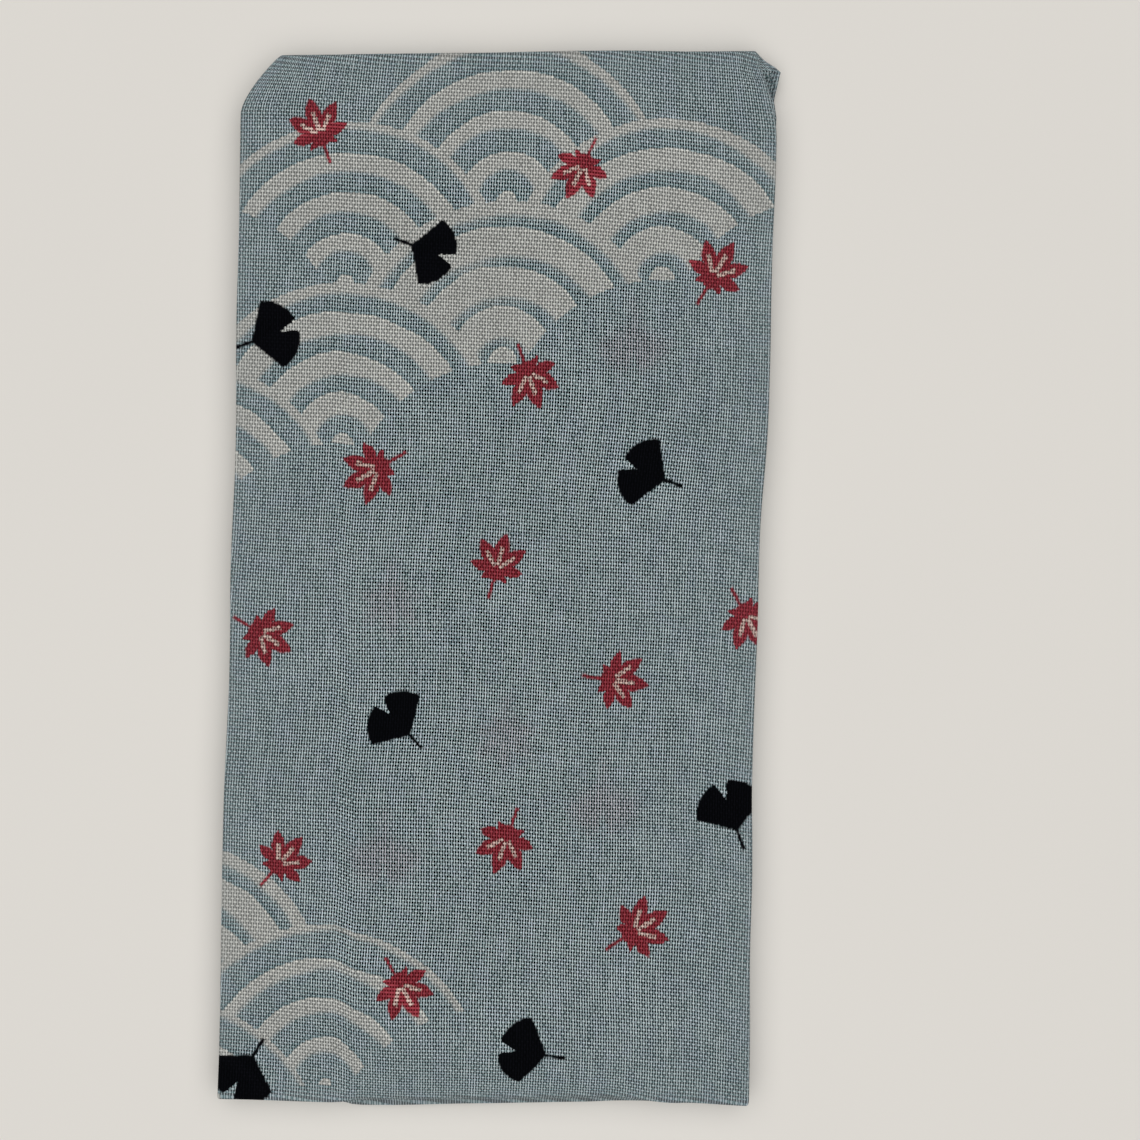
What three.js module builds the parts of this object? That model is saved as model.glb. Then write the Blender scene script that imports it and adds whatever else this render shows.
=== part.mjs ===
// Tenugui towel: one long strip of thin plain-weave cotton, folded in thirds across its width and
// in half twice along its length, lying flat as a packet.
//
// Millimetres, +Z up. +Y points to the end where the strip doubles back twice, one fold inside
// the other, and -Y to the end with the single fold. The origin is the middle of the underside.
//
// The towel is one solid with a back-and-forth section: four leaves, a little apart, joined by
// three round folds. A leaf stands for the three plies that lie on each other there.

import * as THREE from "three";

// Driving dimensions of the packet
const PACKET_LENGTH = 227.6;
const LEAF_THICKNESS = 1.2;
const LEAF_GAP = 0.3;
const SIDE_ROUND = 0.35;
const CUT_END_SETBACK = 0.8;

const CLOTH_COLOUR = "#82969e";
const CLOTH_ROUGHNESS = 0.9;

// Side edges of the packet, from its middle line. It leans a little, and its right side bends.
const SIDE_EDGES = [
  { y: -113, left: -60.4, right: 54.0 },
  { y: -50, left: -59.1, right: 54.8 },
  { y: -5, left: -57.6, right: 56.0 },
  { y: 50, left: -56.3, right: 58.8 },
  { y: 113, left: -55.2, right: 60.4 },
];

// How far the two ends of the packet run out past its nominal length, across the width
const END_LINES = [
  { x: -60, single: 1.0, doubled: -1.2 },
  { x: -40, single: 0.3, doubled: -1.0 },
  { x: -22, single: -0.5, doubled: -0.7 },
  { x: -2, single: -0.3, doubled: -0.5 },
  { x: 27, single: 0.3, doubled: 0.1 },
  { x: 55, single: -0.5, doubled: 0.4 },
];

// The leaves, by their place in the stack from the bottom. inset is how far a leaf's sides lie
// inside the packet's. By the double fold its corners lack a slant and its right side runs out
// in a flare, each [width, length].
const LEAVES = {
  bottom: { level: 0, inset: 0.0, slantLeft: [8.8, 12.9], slantRight: [6.8, 4.6], flare: [1.8, 26] },
  second: { level: 1, inset: 0.9, slantLeft: [8.4, 12.4], slantRight: [5.2, 9.0], flare: [0.8, 26] },
  third: { level: 2, inset: 0.5, slantLeft: [8.4, 12.4], slantRight: [5.2, 9.0], flare: [0.6, 26] },
  top: { level: 3, inset: 0.0, slantLeft: [8.8, 12.9], slantRight: [5.0, 16.8], flare: [0.0, 26] },
};
const CORNER_CURVE = 1.5;

// The strip's section, walked from the cut end that lies underneath: leaves and the folds
// between them. A fold turns by half a circle, to the left (+1) or to the right (-1).
const WALK = [
  { leaf: "bottom", heading: +1, steps: 17 },
  { fold: "doubled", from: "bottom", to: "top", turn: +1, steps: 9 },
  { leaf: "top", heading: -1, steps: 17 },
  { fold: "single", from: "top", to: "third", turn: +1, steps: 6 },
  { leaf: "third", heading: +1, steps: 17 },
  { fold: "doubled", from: "third", to: "second", turn: -1, steps: 6 },
  { leaf: "second", heading: -1, steps: 17 },
];
const STEPS_ACROSS = 14;
const LAYERS_THROUGH = 2;

// Soft swells of the top surface: the stack below is squeezed or puffed by as much
const SWELLS = [
  { x: -26, y: 62, reach: 42, height: 0.45 },
  { x: 30, y: 30, reach: 34, height: -0.3 },
  { x: 4, y: -34, reach: 46, height: 0.4 },
  { x: -38, y: -78, reach: 30, height: -0.3 },
  { x: 34, y: -88, reach: 32, height: 0.35 },
];

const pitch = LEAF_THICKNESS + LEAF_GAP;
const stackHeight = 4 * LEAF_THICKNESS + 3 * LEAF_GAP;
const leafHeight = (name) => LEAF_THICKNESS / 2 + LEAVES[name].level * pitch;

// Radius of a fold's middle surface: half the distance between the two leaves that it joins
const foldRadius = (from, to) => Math.abs(leafHeight(to) - leafHeight(from)) / 2;

// Both folds at the doubled end turn about one line, so they stay LEAF_GAP apart
const doubledCentre = PACKET_LENGTH / 2 - foldRadius("bottom", "top") - LEAF_THICKNESS / 2;
const singleCentre = -PACKET_LENGTH / 2 + foldRadius("top", "third") + LEAF_THICKNESS / 2;
const cutEnd = -PACKET_LENGTH / 2 + CUT_END_SETBACK;

// Value at position of a column in a table sorted by key, eased between neighbouring rows
function columnAt(table, key, position, column) {
  const last = table.length - 1;
  if (position <= table[0][key]) return table[0][column];
  if (position >= table[last][key]) return table[last][column];
  const next = table.findIndex((row) => row[key] > position);
  const low = table[next - 1];
  const high = table[next];
  const way = (position - low[key]) / (high[key] - low[key]);
  const eased = THREE.MathUtils.lerp(way, THREE.MathUtils.smoothstep(way, 0, 1), 0.5);
  return THREE.MathUtils.lerp(low[column], high[column], eased);
}

// One leaf as stations along the strip: its middle surface, its heading and its row. They lie
// closer together towards its ends, where the corners are.
function leafStations({ leaf, heading, steps }) {
  const start = leaf === "bottom" ? cutEnd : heading > 0 ? singleCentre : doubledCentre;
  const stop = leaf === "second" ? cutEnd : heading > 0 ? doubledCentre : singleCentre;
  const angle = heading > 0 ? 0 : Math.PI;
  return Array.from({ length: steps + 1 }, (_, step) => ({
    y: THREE.MathUtils.lerp(start, stop, (1 - Math.cos((Math.PI * step) / steps)) / 2),
    z: leafHeight(leaf),
    angle,
    from: leaf,
    to: leaf,
    share: 0,
  }));
}

// One fold as stations on a half circle. Its ends belong to the leaves, so they are left out.
function foldStations({ fold, from, to, turn, steps }) {
  const centreY = fold === "doubled" ? doubledCentre : singleCentre;
  const centreZ = (leafHeight(from) + leafHeight(to)) / 2;
  const radius = foldRadius(from, to);
  const startAngle = fold === "doubled" ? 0 : Math.PI;
  return Array.from({ length: steps - 1 }, (_, index) => {
    const share = (index + 1) / steps;
    const angle = startAngle + turn * share * Math.PI;
    return {
      y: centreY + turn * radius * Math.sin(angle),
      z: centreZ - turn * radius * Math.cos(angle),
      angle,
      from,
      to,
      share,
    };
  });
}

const stations = WALK.flatMap((row) => (row.leaf ? leafStations(row) : foldStations(row)));

// A corner's slant or flare [width, length] at y: none at its foot, its full width at the end
function cornerAt([width, length], y) {
  const reach = THREE.MathUtils.clamp((y - PACKET_LENGTH / 2 + length) / length, 0, 1);
  return width * reach ** CORNER_CURVE;
}

// The side edges of one station at y: the packet's, less the inset and the slanted corners
function sidesAt(station, y) {
  const [from, to] = [LEAVES[station.from], LEAVES[station.to]];
  const inset = THREE.MathUtils.lerp(from.inset, to.inset, station.share);
  const corner = (key) =>
    THREE.MathUtils.lerp(cornerAt(from[key], y), cornerAt(to[key], y), station.share);
  const left = columnAt(SIDE_EDGES, "y", y, "left") + inset + corner("slantLeft");
  const right = columnAt(SIDE_EDGES, "y", y, "right") - inset;
  return { left, right: right + corner("flare") - corner("slantRight") };
}

// The swells' height over a point of the packet's plan
function swellAt(x, y) {
  return SWELLS.reduce((sum, swell) => {
    const distance = Math.hypot(x - swell.x, y - swell.y) / swell.reach;
    return sum + swell.height * Math.exp(-distance * distance);
  }, 0);
}

// A point of the folded cloth: across runs from the left side (-1) to the right (1), and
// through from the strip's right-hand face (-1) to its left-hand face (1)
function foldedPoint(station, across, through) {
  const offset = (through * LEAF_THICKNESS) / 2;
  const y = station.y - offset * Math.sin(station.angle);
  const z = station.z + offset * Math.cos(station.angle);
  const sides = sidesAt(station, y);
  const rounding = SIDE_ROUND * Math.abs(through) * Math.abs(across) ** STEPS_ACROSS;
  const x = THREE.MathUtils.lerp(sides.left, sides.right, (across + 1) / 2)
    - Math.sign(across) * rounding;
  const endShare = y / PACKET_LENGTH + 0.5;
  const run = THREE.MathUtils.lerp(
    columnAt(END_LINES, "x", x, "single"),
    columnAt(END_LINES, "x", x, "doubled"),
    endShare,
  );
  return new THREE.Vector3(x, y + run, z * (1 + swellAt(x, y) / stackHeight));
}

// The cloth: a flat bar, stepped along its length as the stations are, folded point by point
function foldedCloth() {
  const stepsAlong = stations.length - 1;
  const bar = new THREE.BoxGeometry(2, 1, 2, STEPS_ACROSS, stepsAlong, LAYERS_THROUGH);
  const points = bar.getAttribute("position");
  for (let index = 0; index < points.count; index += 1) {
    const station = stations[Math.round((points.getY(index) + 0.5) * stepsAlong)];
    const point = foldedPoint(station, points.getX(index), points.getZ(index));
    points.setXYZ(index, point.x, point.y, point.z);
  }
  bar.computeBoundingBox();
  const middle = bar.boundingBox.getCenter(new THREE.Vector3());
  bar.translate(-middle.x, -middle.y, -bar.boundingBox.min.z);
  bar.computeVertexNormals();
  return bar;
}

const cottonMaterial = new THREE.MeshStandardMaterial({
  color: CLOTH_COLOUR,
  roughness: CLOTH_ROUGHNESS,
  metalness: 0,
});

const cloth = new THREE.Mesh(foldedCloth(), cottonMaterial);
cloth.name = "cloth";

const towel = new THREE.Group();
towel.add(cloth);

export default towel;
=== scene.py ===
"""Tenugui towel: one printed cotton strip, folded in thirds across and in half twice along.

Metres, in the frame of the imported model: +Y points to the end where the strip doubles back
twice, -Y to the end with the single fold, and the packet lies on z = 0.
"""

import functools
import math

import bpy
import numpy as np
from bpy.props import FloatProperty, FloatVectorProperty, PointerProperty
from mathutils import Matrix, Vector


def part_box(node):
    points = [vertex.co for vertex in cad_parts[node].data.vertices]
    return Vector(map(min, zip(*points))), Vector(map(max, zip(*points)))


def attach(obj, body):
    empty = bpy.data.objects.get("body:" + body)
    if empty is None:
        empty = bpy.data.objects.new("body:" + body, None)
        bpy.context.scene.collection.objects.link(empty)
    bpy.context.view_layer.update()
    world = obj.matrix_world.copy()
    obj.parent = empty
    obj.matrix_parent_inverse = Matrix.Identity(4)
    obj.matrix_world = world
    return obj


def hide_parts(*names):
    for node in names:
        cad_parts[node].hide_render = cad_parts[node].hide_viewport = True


bl_info = {
    "name": "Tenugui Towel",
    "version": (1, 0, 0),
    "blender": (4, 5, 0),
    "location": "3D View > Sidebar > Towel",
    "description": "Builds a folded, printed tenugui towel and a plain stage for it",
    "category": "Add Mesh",
}

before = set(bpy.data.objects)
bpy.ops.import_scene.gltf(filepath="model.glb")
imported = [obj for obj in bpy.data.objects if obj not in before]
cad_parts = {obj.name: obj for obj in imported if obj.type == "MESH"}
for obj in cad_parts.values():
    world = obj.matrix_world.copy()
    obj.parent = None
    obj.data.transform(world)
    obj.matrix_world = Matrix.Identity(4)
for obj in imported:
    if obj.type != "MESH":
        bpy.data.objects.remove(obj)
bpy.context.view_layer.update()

MM = 0.001
SEED = 7

# Seeded waves: how many, the shortest and the longest. They move the sides of the leaves, the
# packet's face, the warp and the weft.
SIDE_WAVES = (7, 24 * MM, 90 * MM)
FACE_WAVES = (26, 11 * MM, 42 * MM)
WARP_WAVES = (12, 30 * MM, 90 * MM)
WEFT_WAVES = (12, 26 * MM, 80 * MM)

# The packet: four leaves of three plies, and the folds between them. Leaves are numbered by
# their place in the stack, from 0 underneath to 3 on top.
PACKET_LENGTH = 227.6 * MM
LEAF_THICKNESS = 1.2 * MM
LEAF_PITCH = 1.5 * MM
STACK_HEIGHT = 5.7 * MM
CUT_END_SETBACK = 0.8 * MM

# Side edges of the packet: y, left x, right x. It leans a little, and its right side bends.
SIDE_EDGES = MM * np.array(
    [
        (-113, -60.4, 54.0),
        (-50, -59.1, 54.8),
        (-5, -57.6, 56.0),
        (50, -56.3, 58.8),
        (113, -55.2, 60.4),
    ]
)

# How far the ends run out past the nominal length: x, at the single fold, at the doubled end
END_LINES = MM * np.array(
    [
        (-60, 1.0, -1.2),
        (-35.5, 0.3, -0.95),
        (-30.5, -1.38, -0.82),
        (-22, -1.43, -0.7),
        (-6, -1.08, -0.55),
        (19, -0.68, -0.1),
        (28, -0.2, 0.0),
        (41, 0.25, -0.25),
        (55, -0.5, -0.15),
    ]
)

# Each leaf by the doubled end: inset of its sides, then width and length of the slant that its
# left corner lacks, of the slant that its right corner lacks, and of its right side's flare
LEAF_CORNERS = MM * np.array(
    [
        (0.0, 8.8, 12.9, 6.6, 4.0, 2.3, 10.0),
        (0.7, 8.4, 12.4, 10.0, 12.0, 0.0, 10.0),
        (0.2, 8.4, 12.4, 10.0, 12.0, 0.0, 10.0),
        (0.0, 8.8, 12.9, 5.0, 18.5, 0.0, 10.0),
    ]
)
CORNER_CURVE = 1.5
RIGHT_SLANT_CURVES = np.array((0.75, 1.5, 1.5, 1.5))

# How far in from a side its corner's slant is felt: beyond, the cloth lies as before
CORNER_SOFTNESS = 10.5 * MM

# By the doubled end's right corner the lower leaves bulge, and the lowest one is drawn in above
# that (y, reach, amount), so its tip sticks out past the top leaf
BULGE = MM * np.array((98.6, 4.2, 0.35))
WAIST = MM * np.array((103.7, 1.9, -0.3))

# From a slanting line on, that tip is lifted towards one height over a width from the side, so
# a pocket stays open below it: y of the line at the side, slant, how far in it slants, run of
# the lift, inner and outer end of the width, height, share
TIP_START, TIP_SLANT, TIP_SLANT_REACH, TIP_RUN = 109.0 * MM, 0.75, 2.6 * MM, 1.0 * MM
TIP_INNER, TIP_OUTER = 9.0 * MM, 4.5 * MM
TIP_HEIGHT, TIP_SHARE = 4.2 * MM, 0.8

# The lowest leaf's side stands up as a rim along the pocket: inner end and width of the rim
# from the side, where along the side it starts, run, height, share
RIM_INNER, RIM_WIDTH = 0.7 * MM, 0.9 * MM
RIM_START, RIM_RUN = 102.6 * MM, 2.0 * MM
RIM_HEIGHT, RIM_SHARE = 3.3 * MM, 0.7

# Where the middle of the packet's box lies in the tables
BOX_MIDDLE = MM * np.array((0.63, -0.12))

# The two folds that show are squarer than a circle, |x|^n + |y|^n = r^n, but not at their core
FOLD_SQUARENESS = 3.5
FOLD_CORE = 0.3 * MM

# The strip's way from the cut end underneath: (leaf, heading, steps) and
# (fold, leaf that it leaves, leaf that it reaches, turn, steps)
WALK = (
    ("leaf", 0, +1, 72),
    ("doubled", 0, 3, +1, 24),
    ("leaf", 3, -1, 124),
    ("single", 3, 2, +1, 18),
    ("leaf", 2, +1, 40),
    ("doubled", 2, 1, -1, 10),
    ("leaf", 1, -1, 40),
)

# How far the under flap ends before the right fold, and the upper one before the left fold, then
# how many steps the section takes over its stretches
FLAP_TUCK, FLAP_SHORT = 1.1 * MM, 1.9 * MM
FLAP_STEPS = 28
MIDDLE_STEPS = 68
LEFT_FOLD_STEPS = 7
RIGHT_FOLD_STEPS = 9

# Soft swells of the packet: x, y, reach, height
SWELLS = MM * np.array(
    [
        (-26, 62, 42, 0.45),
        (30, 30, 34, -0.3),
        (4, -34, 46, 0.4),
        (-38, -78, 30, -0.3),
        (34, -88, 32, 0.35),
    ]
)

# The single fold is rolled over further between these two places: x, reach of each. Its upper
# part leans back between these two heights, less and less over a run inwards, and beyond a
# crease the packet is pressed down.
ROLL_SPAN = MM * np.array([(-32.5, 3.5), (30, 9)])
ROLL_FOOT, ROLL_HEAD, ROLL_FADE = 3.4 * MM, 5.68 * MM, 14 * MM
ROLL_CREASE, ROLL_PRESS_WIDTH, ROLL_PRESS = -111.9 * MM, 2.4 * MM, 0.42

# Leaves of the print that lie on the packet's face, listed one by one: how far in from the
# face's left side, how far down from the doubled end, turn in degrees, kind, size
RED, BLACK, RED_GHOST, DARK_GHOST = 1.0, 2.0, 3.0, 4.0
FACE_LEAVES = (
    (17, 15, 200, RED, 1.0),
    (74, 22, 335, RED, 0.97),
    (41, 40, 70, BLACK, 0.95),
    (103, 46, 150, RED, 1.03),
    (7, 58, 110, BLACK, 1.0),
    (63, 66, 20, RED, 1.0),
    (31, 86, 300, RED, 1.04),
    (90, 88, 250, BLACK, 1.0),
    (113, 118, 30, RED, 1.0),
    (58, 108, 165, RED, 0.96),
    (6, 122, 60, RED, 1.0),
    (84, 132, 80, RED, 1.0),
    (37, 140, 225, BLACK, 0.96),
    (62, 165, 340, RED, 1.0),
    (111, 160, 200, BLACK, 1.02),
    (12, 172, 140, RED, 0.95),
    (90, 186, 120, RED, 1.04),
    (39, 196, 30, RED, 1.0),
    (67, 211, 260, BLACK, 1.0),
    (5, 217, 330, BLACK, 1.0),
    (35, 113, 0, RED_GHOST, 1.0),
    (61, 142, 0, RED_GHOST, 1.0),
    (83, 158, 0, DARK_GHOST, 1.0),
    (35, 168, 0, DARK_GHOST, 1.0),
    (86, 60, 0, DARK_GHOST, 1.0),
)

# The leaves of the rest: side of the net's cells, how far a leaf strays from the middle of its
# cell, how near it may come to one on the face, share of black ones. None lies within half the
# face's length of its middle.
SCATTER_CELL = 38 * MM
SCATTER_JITTER = 6 * MM
SCATTER_CLEAR = 27 * MM
SCATTER_BLACK = 0.38
HALF_FACE = 111 * MM

# Patches of wave scales on the flat strip: centre across and along, then reach of each
WAVE_PATCHES = MM * np.array(
    [
        (192, 273, 35, 34),
        (164, 288, 44, 34),
        (124, 318, 36, 26),
        (112, 436, 34, 34),
        (300, 420, 60, 50),
        (250, 560, 70, 45),
        (60, 650, 60, 60),
        (200, 760, 60, 60),
        (150, 90, 70, 60),
        (30, 250, 40, 60),
    ]
)

# A printed maple leaf, as shares of its longest lobe: angle between its lobes, how fast these
# shorten, width of a lobe, radius of the middle, width and length of the stem, then width,
# start and end of the pale veins
LOBE_ANGLE, LOBE_SHORTENING, LOBE_WIDTH, LEAF_MIDDLE = math.radians(43), 0.36, 0.85, 0.3
STEM_WIDTH, STEM_LENGTH = 0.09, 0.78
VEIN_WIDTH, VEIN_START, VEIN_END = 0.11, 0.12, 0.62

# A printed ginkgo leaf, as such shares: how far down the fan's foot lies, its reach and half
# angle, how far its sides sag, half angle and foot of its notch, top and end of its stalk
FAN_FOOT, FAN_REACH, FAN_ANGLE, FAN_SAG = 0.52, 1.28, 1.02, 0.22
NOTCH_ANGLE, NOTCH_FOOT = 0.16, 0.82
STALK_TOP, STALK_END = 0.46, 1.02

# Rows that the net of wave scales is lifted by, so that none has a number below 0, rings in a
# disc, and the limit of their paint: at a patch's rim, its fall inwards, its least, its drift
ROW_LIFT = 80.0
RINGS = 4
RIM_LIMIT, LIMIT_FALL, HEART_LIMIT, LIMIT_DRIFT = 0.8, 1.5, -0.55, 1.6

# Colours of a ring's bright outer line, of the veins, and the painted shade of the gaps between the
# threads, which stands for the ply below seen in shade
BRIGHT_LINE, VEIN_COLOUR = "#f6f6f0", "#e9cfc6"
GAP_SHADE, PALE_GAP_SHADE, RED_GAP_SHADE, BLACK_GAP_SHADE = "#00090c", "#626361", "#480a10", "#020305"

# How far the dye's edge strays, in crossings, size and detail of its drifts in depth and in hue,
# how much the first one shows, and how far the weave closes up at a fold
RAGGED = 0.3
DEPTH_DRIFT, HUE_DRIFT = (26 * MM, 3.0), (5 * MM, 1.0)
MOTTLE = 0.18
CLOSED_UP = 0.5

# How far pale yarn and red pigment even the tones, and the weave's mean tone on the ground, with
# what pale yarn and red pigment add to it
PALE_EVENS, RED_EVENS = 0.55, 0.45
GROUND_MEAN, PALE_MEAN, RED_MEAN = 0.315, 0.135, 0.23

# The weave, in crossings, for warp and weft: least half width of a thread and how far its own
# noise and the uneven weave widen it, softness of its edge, the painted light on it where it is
# level and what its rise adds (painted light where it is on top, painted shade where it dips),
# its least tone and the range of it, how fast painted shade darkens it sideways, and its line in
# the noise: how far from the next thread's, and how fast along it
HALF_WIDTH, OWN_WIDTH, UNEVEN_WIDTH = (-0.02, 0.13, 0), (0.12, 0.08, 0), (0.11, 0.11, 0)
EDGE_SOFTNESS = (0.06, 0.06, 0)
LEVEL_CROWN_LIGHT, RISING_CROWN_LIGHT = (1.02, 0.36, 0), (0.18, 0.46, 0)
LEAST_TONE, TONE_RANGE = (0.72, 0.66, 0), (0.7, 0.7, 0)
SIDE_SHADE = (-2.4, -2.4, 0)
LINE_STEPS = (((5.37, 0, 0), (0, 0.11, 0)), ((0, 7.91, 0), (0.09, 0, 0)))

# What the drifts of the dye, a faint leaf and the edge of a ring do to the ground's colour, and
# cloudiness to the floor's
BLUER = (0.995, 0.987, 1.026, 1.0)
PURPLER = (1.0, 0.885, 0.915, 1.0)
DEEPER = (0.74, 0.80, 0.82, 1.0)
CLOUDIER = (0.965, 0.965, 0.97, 1.0)

# The map for baking, as shares of its side: margin and the length between two, right end of the
# face, start and width of the printed and of the plain side, starts of the rims at the ends and
# at the edges, width of a rim, step between two
BAKE_MARGIN, BAKE_LENGTH = 0.004, 0.992
BAKE_FACE = 0.498
BAKE_PRINTED, BAKE_PLAIN = (0.505, 0.3), (0.815, 0.13)
BAKE_ENDS, BAKE_EDGES = 0.953, 0.977
BAKE_RIM, BAKE_RIM_STEP = 0.007, 0.012

# The stage: place and colour of the lamp, colour of the sky, how far the camera stands off the
# packet's middle and its picture is shifted
LAMP_PLACE = (-0.03, -0.14, 0.95)
LAMP_COLOUR = (1.0, 0.99, 0.97)
SKY_COLOUR = "#eeeeec"
CAMERA_OFFSET = (0.1 * MM, 1.5 * MM)
CAMERA_SHIFT = 0.0601


def linear(colour):
    """sRGB hex to linear RGBA: (c / 12.92) below 0.04045, else ((c + 0.055) / 1.055) ^ 2.4."""
    channels = [int(colour[place : place + 2], 16) / 255 for place in (1, 3, 5)]
    return [c / 12.92 if c <= 0.04045 else ((c + 0.055) / 1.055) ** 2.4 for c in channels] + [1]


def metres(name, description, default, low=0.0):
    """A length among the settings, with its least value."""
    return FloatProperty(
        name=name, description=description, default=default, min=low,
        precision=5, unit="LENGTH", subtype="DISTANCE",
    )


def hex_colour(name, description, default):
    """A colour among the settings, its default in sRGB hex."""
    return FloatVectorProperty(
        name=name, description=description, default=linear(default),
        size=4, min=0, max=1, subtype="COLOR",
    )


class ClothSettings(bpy.types.PropertyGroup):
    """Sizes of the cloth and of its plies."""

    flat_width: metres("Flat width", "Width of the cloth, selvedge to selvedge", 345 * MM, 0.1)
    flat_length: metres("Flat length", "Length of the cloth between its cut ends", 900 * MM, 0.3)
    thickness: metres("Cloth thickness", "Thickness of a single ply", 0.35 * MM, 0.1 * MM)
    ply_spacing: metres(
        "Ply spacing", "Distance between the middles of two plies of a leaf", 0.4 * MM, 0.1 * MM
    )
    edge_wander: metres(
        "Edge wander", "How far a leaf's side edges wander from the packet's", 0.22 * MM
    )
    ripple: metres("Ripple", "Height of the fine ripples of the packet's face", 0.14 * MM)
    roll: metres("Roll", "How far the single fold is rolled over at its middle", 2.4 * MM)


class PrintSettings(bpy.types.PropertyGroup):
    """Sizes and colours of the weave and of the print on it."""

    warp_pitch: metres("Warp pitch", "Distance between two lengthwise threads", 0.58 * MM, 0.1 * MM)
    weft_pitch: metres("Weft pitch", "Distance between two crosswise threads", 0.75 * MM, 0.1 * MM)
    scale_radius: metres(
        "Wave scale radius", "Radius of one scale of the wave pattern", 34.5 * MM, 5 * MM
    )
    leaf_radius: metres(
        "Leaf radius", "From a printed leaf's middle to its longest tip", 8.4 * MM, 1 * MM
    )
    ground: hex_colour("Ground", "Blue-grey dye of the cloth", "#d0dfe4")
    pale: hex_colour("Pale", "Nearly undyed cotton of the wave scales", "#dfe0dc")
    red: hex_colour("Red", "Pigment of the red leaves", "#a4434e")
    black: hex_colour("Black", "Pigment of the black leaves", "#0c0d12")


class StageSettings(bpy.types.PropertyGroup):
    """The floor, the light and the camera."""

    floor_size: metres("Floor size", "Side of the floor", 6.0, 1)
    floor_colour: hex_colour("Floor colour", "Warm white of the floor", "#e4e1dc")
    key_power: FloatProperty(
        name="Key power", description="Power of the large soft light overhead",
        default=30.0, min=0, unit="POWER",
    )
    key_width: metres("Key width", "Width of the large soft light, across the packet", 2.6, 0.1)
    key_depth: metres("Key depth", "Depth of the large soft light, along the packet", 3.0, 0.1)
    sky_strength: FloatProperty(
        name="Sky strength", description="Strength of the even light from all round",
        default=0.06, min=0,
    )
    camera_height: metres(
        "Camera height", "Height of the lens over the packet's face", 340.4 * MM, 0.05
    )


# What soft-edged ranges and flat noises among the nodes share
SMOOTH = {"interpolation_type": "SMOOTHSTEP"}
PLANE = {"noise_dimensions": "2D"}


def eased(way):
    """3 w^2 - 2 w^3 of a way, held between 0 and 1: level at both."""
    way = np.clip(way, 0, 1)
    return way * way * (3 - 2 * way)


def gathered(steps):
    """Places from 0 to 1, closer together towards both: 0.15 w + 0.425 (1 - cos pi w)."""
    way = np.linspace(0, 1, steps + 1)
    return 0.15 * way + 0.425 * (1 - np.cos(np.pi * way))


def table_value(table, column, position):
    """A table's column at position, from its first column: halfway between a straight line and
    the eased way between two rows, and level beyond the first and the last."""
    keys, values = table[:, 0], table[:, column]
    row = np.clip(np.searchsorted(keys, position, side="right") - 1, 0, len(keys) - 2)
    way = np.clip((position - keys[row]) / (keys[row + 1] - keys[row]), 0, 1)
    way = (way + eased(way)) / 2
    return values[row] + (values[row + 1] - values[row]) * way


def leaf_height(leaf):
    """Height of a leaf's middle surface."""
    return LEAF_THICKNESS / 2 + leaf * LEAF_PITCH


def strip_stations():
    """The strip's middle line as rows of y, z, heading, leaf left, leaf reached, way, turned
    radius of a fold that shows, run.

    A leaf is a level line with gathered stations. A fold is a half circle, centre + turn *
    radius * (sin, -cos) of the heading. The run is the length walked.
    """
    doubled_y = PACKET_LENGTH / 2 - 1.5 * LEAF_PITCH - LEAF_THICKNESS / 2
    single_y = -PACKET_LENGTH / 2 + 0.5 * LEAF_PITCH + LEAF_THICKNESS / 2
    cut_y = -PACKET_LENGTH / 2 + CUT_END_SETBACK
    rows = []
    for kind, leaf, *rest in WALK:
        if kind == "leaf":
            heading, steps = rest
            near = cut_y if leaf < 2 else single_y
            start, stop = (near, doubled_y) if heading > 0 else (doubled_y, near)
            y = start + (stop - start) * gathered(steps)
            z = np.full_like(y, leaf_height(leaf))
            angle = np.full_like(y, 0 if heading > 0 else np.pi)
            reached, share, turned = leaf, np.zeros_like(y), 0.0
        else:
            reached, turn, steps = rest
            share = np.arange(1, steps) / steps
            radius = abs(leaf_height(reached) - leaf_height(leaf)) / 2
            angle = (0 if kind == "doubled" else np.pi) + turn * np.pi * share
            centre_y = doubled_y if kind == "doubled" else single_y
            y = centre_y + turn * radius * np.sin(angle)
            z = (leaf_height(leaf) + leaf_height(reached)) / 2 - turn * radius * np.cos(angle)
            turned = turn * radius if 3 in (leaf, reached) else 0.0
        leaves = np.tile((leaf, reached), (len(y), 1))
        rows.append(np.column_stack((y, z, angle, leaves, share, turned + 0 * y)))
    rows = np.vstack(rows)
    steps = np.hypot(np.diff(rows[:, 0]), np.diff(rows[:, 1]))
    return np.column_stack((rows, np.concatenate(([0], np.cumsum(steps)))))


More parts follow.
